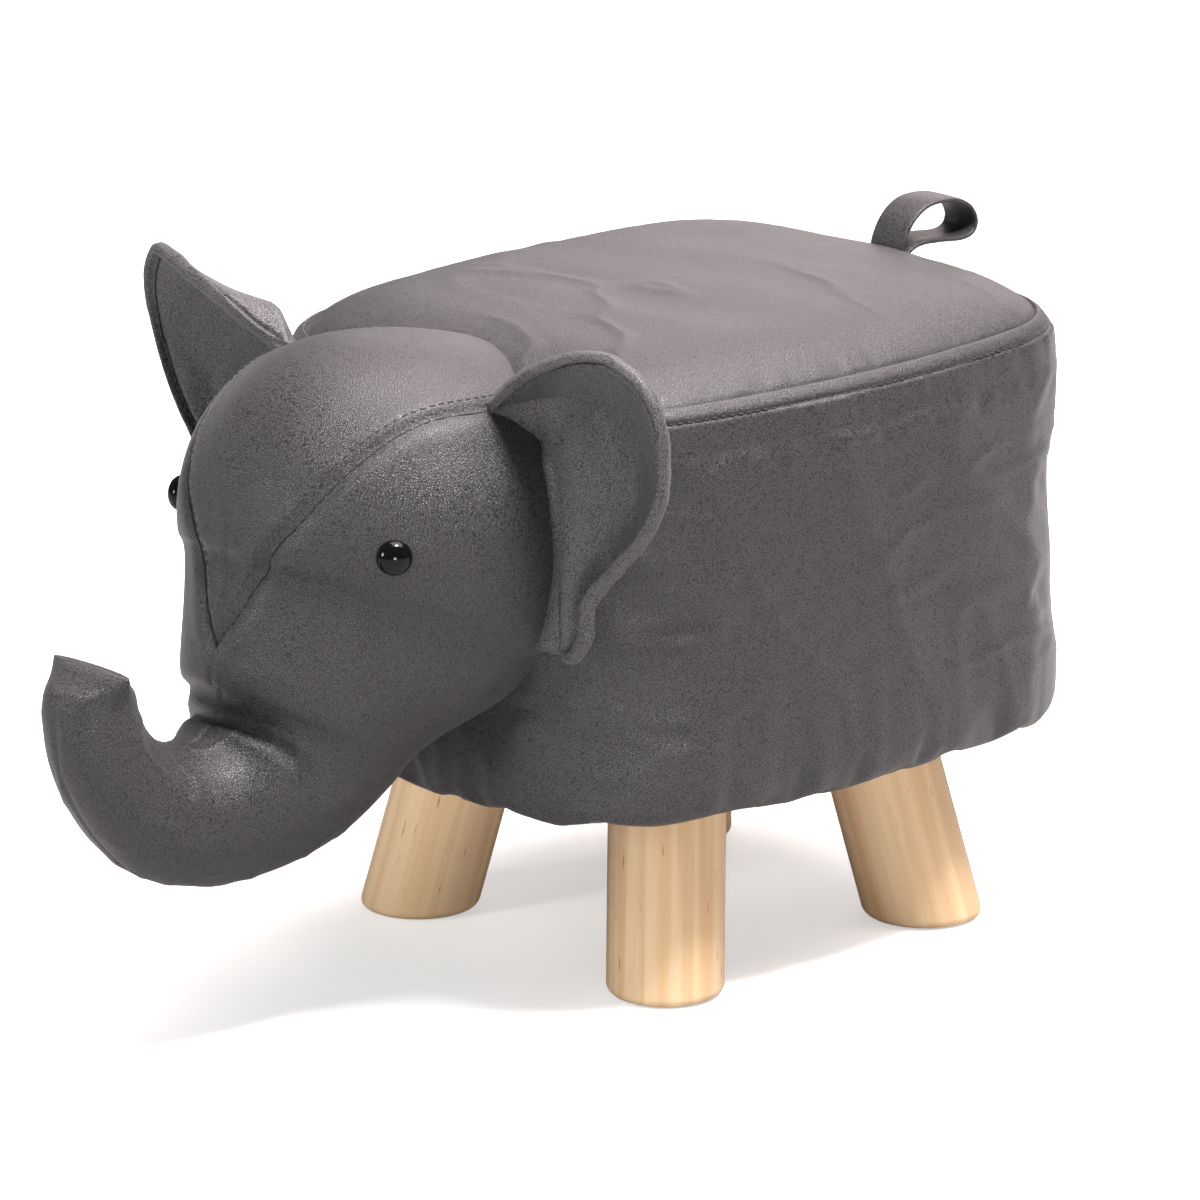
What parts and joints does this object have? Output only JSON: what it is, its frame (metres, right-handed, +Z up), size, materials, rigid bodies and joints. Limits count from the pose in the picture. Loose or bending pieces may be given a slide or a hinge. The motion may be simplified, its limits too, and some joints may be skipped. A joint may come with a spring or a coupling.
{
  "type": "elephant footstool",
  "caption": "Low upholstered footstool shaped like an elephant, with a padded seat, stuffed head and curled trunk, folding ears, strap tail and splayed pine legs.",
  "frame": {"origin": "on the floor, under the middle of the whole length and width", "axes": "+Z up, head towards -Y, the animal's left towards +X"},
  "size_m": [0.3349, 0.5138, 0.2929],
  "materials": {
    "cover": "grained satin",
    "ear_lining": "grained satin",
    "pine": "clear lacquer",
    "plywood": "raw",
    "hardboard": "raw",
    "foam": "open cell",
    "stuffing": "loose fibre",
    "dust_cloth": "non-woven",
    "steel": "zinc plated",
    "eye": "polished",
    "washer": "moulded"
  },
  "bodies": {
    "stool": {"side_panel": "cover", "top_panel": "cover", "forehead_panel": "cover", "left_head_panel": "cover", "right_head_panel": "cover", "left_ear_root": "cover", "right_ear_root": "cover", "front_left_leg": "pine", "front_left_post": "pine", "front_right_leg": "pine", "front_right_post": "pine", "rear_left_leg": "pine", "rear_left_post": "pine", "rear_right_leg": "pine", "rear_right_post": "pine", "base_board": "plywood", "top_board": "plywood", "wall_band": "hardboard", "seat_foam": "foam", "side_foam": "foam", "head_stuffing": "stuffing", "trunk_stuffing": "stuffing", "dust_cover": "dust_cloth", "leg_bolts": "steel", "leg_nuts": "steel", "frame_staples": "steel", "hem_staples": "steel", "left_eye": "eye", "right_eye": "eye", "eye_washers": "washer"},
    "left_ear": {"left_ear_back": "cover", "left_ear_front": "ear_lining"},
    "right_ear": {"right_ear_back": "cover", "right_ear_front": "ear_lining"},
    "tail": {"tail_loop": "cover"}
  },
  "joints": [
    {"name": "left_ear_fold", "type": "hinge", "parent": "stool", "child": "left_ear", "pos_m": [0.09531, -0.06847, 0.212], "axis": [0, 0, -1], "range_deg": [-25, 70], "stiffness_Nm_per_rad": 0.05},
    {"name": "right_ear_fold", "type": "hinge", "parent": "stool", "child": "right_ear", "pos_m": [-0.09546, -0.06843, 0.212], "axis": [0.0663, -0.0216, 0.9976], "range_deg": [-20, 65], "stiffness_Nm_per_rad": 0.05},
    {"name": "tail_lift", "type": "hinge", "parent": "stool", "child": "tail", "pos_m": [0, 0.217, 0.2757], "axis": [1, 0, 0], "range_deg": [-35, 65], "stiffness_Nm_per_rad": 0.05}
  ]
}
